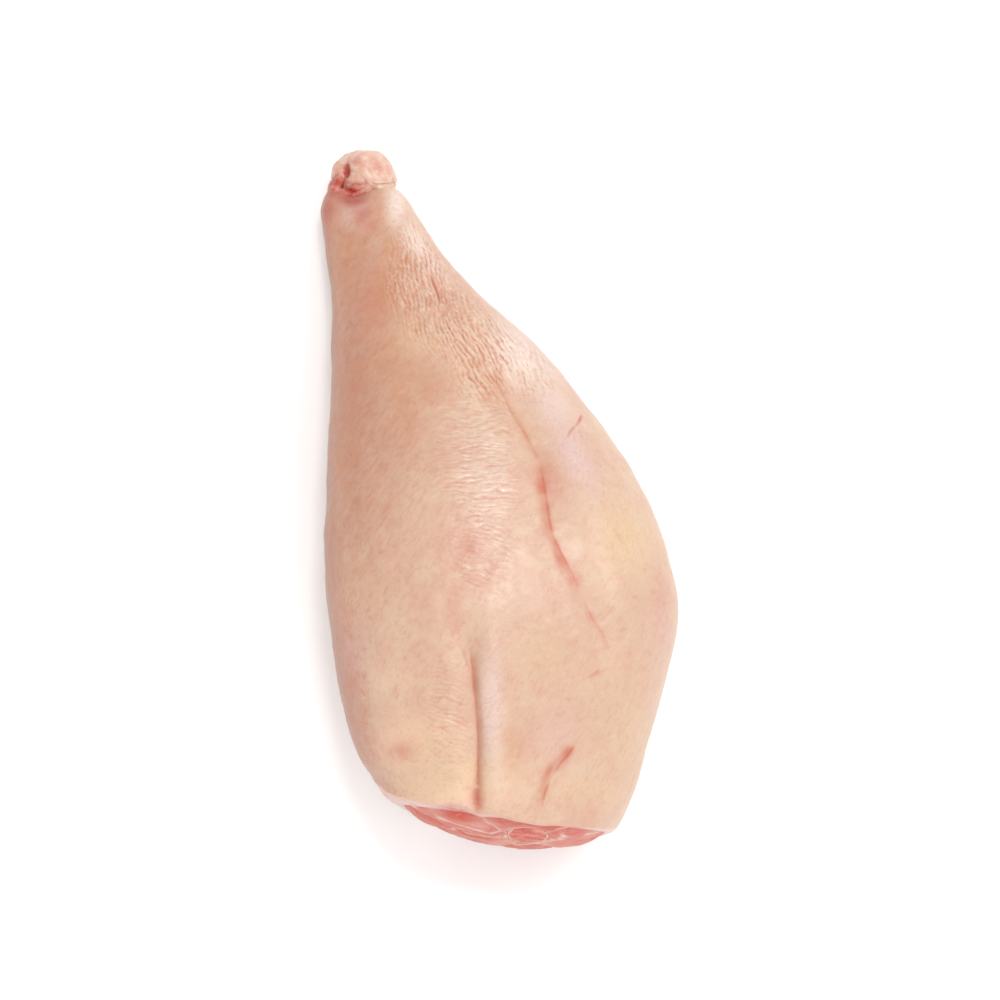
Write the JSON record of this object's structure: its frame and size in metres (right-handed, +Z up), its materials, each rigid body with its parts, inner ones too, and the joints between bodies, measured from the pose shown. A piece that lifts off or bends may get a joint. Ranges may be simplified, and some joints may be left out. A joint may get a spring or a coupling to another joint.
{
  "type": "raw bone-in pork leg",
  "caption": "Raw skin-on leg of pork, cut across the butt and cut off at the hock, lying skin side up; the bone runs through the lean meat and shows at both ends.",
  "frame": {"origin": "middle of the footprint, on the table that the leg lies on", "axes": "+Y along the leg from the butt cut to the hock, +X to the fuller side of the thigh, +Z up out of the back"},
  "size_m": [0.2628, 0.5218, 0.1565],
  "materials": {
    "pork_skin": "raw scalded skin over fat, moist, satin to glossy, pale pink to honey",
    "lean_pork": "raw cut muscle, moist, with pale seams of fat",
    "bone_and_gristle": "sawn bone with red marrow at the butt, wet gristle over the joint end at the hock"
  },
  "bodies": {
    "root": {"skin_and_fat": "pork_skin", "lean_meat": "lean_pork", "leg_bone": "bone_and_gristle"}
  },
  "joints": []
}
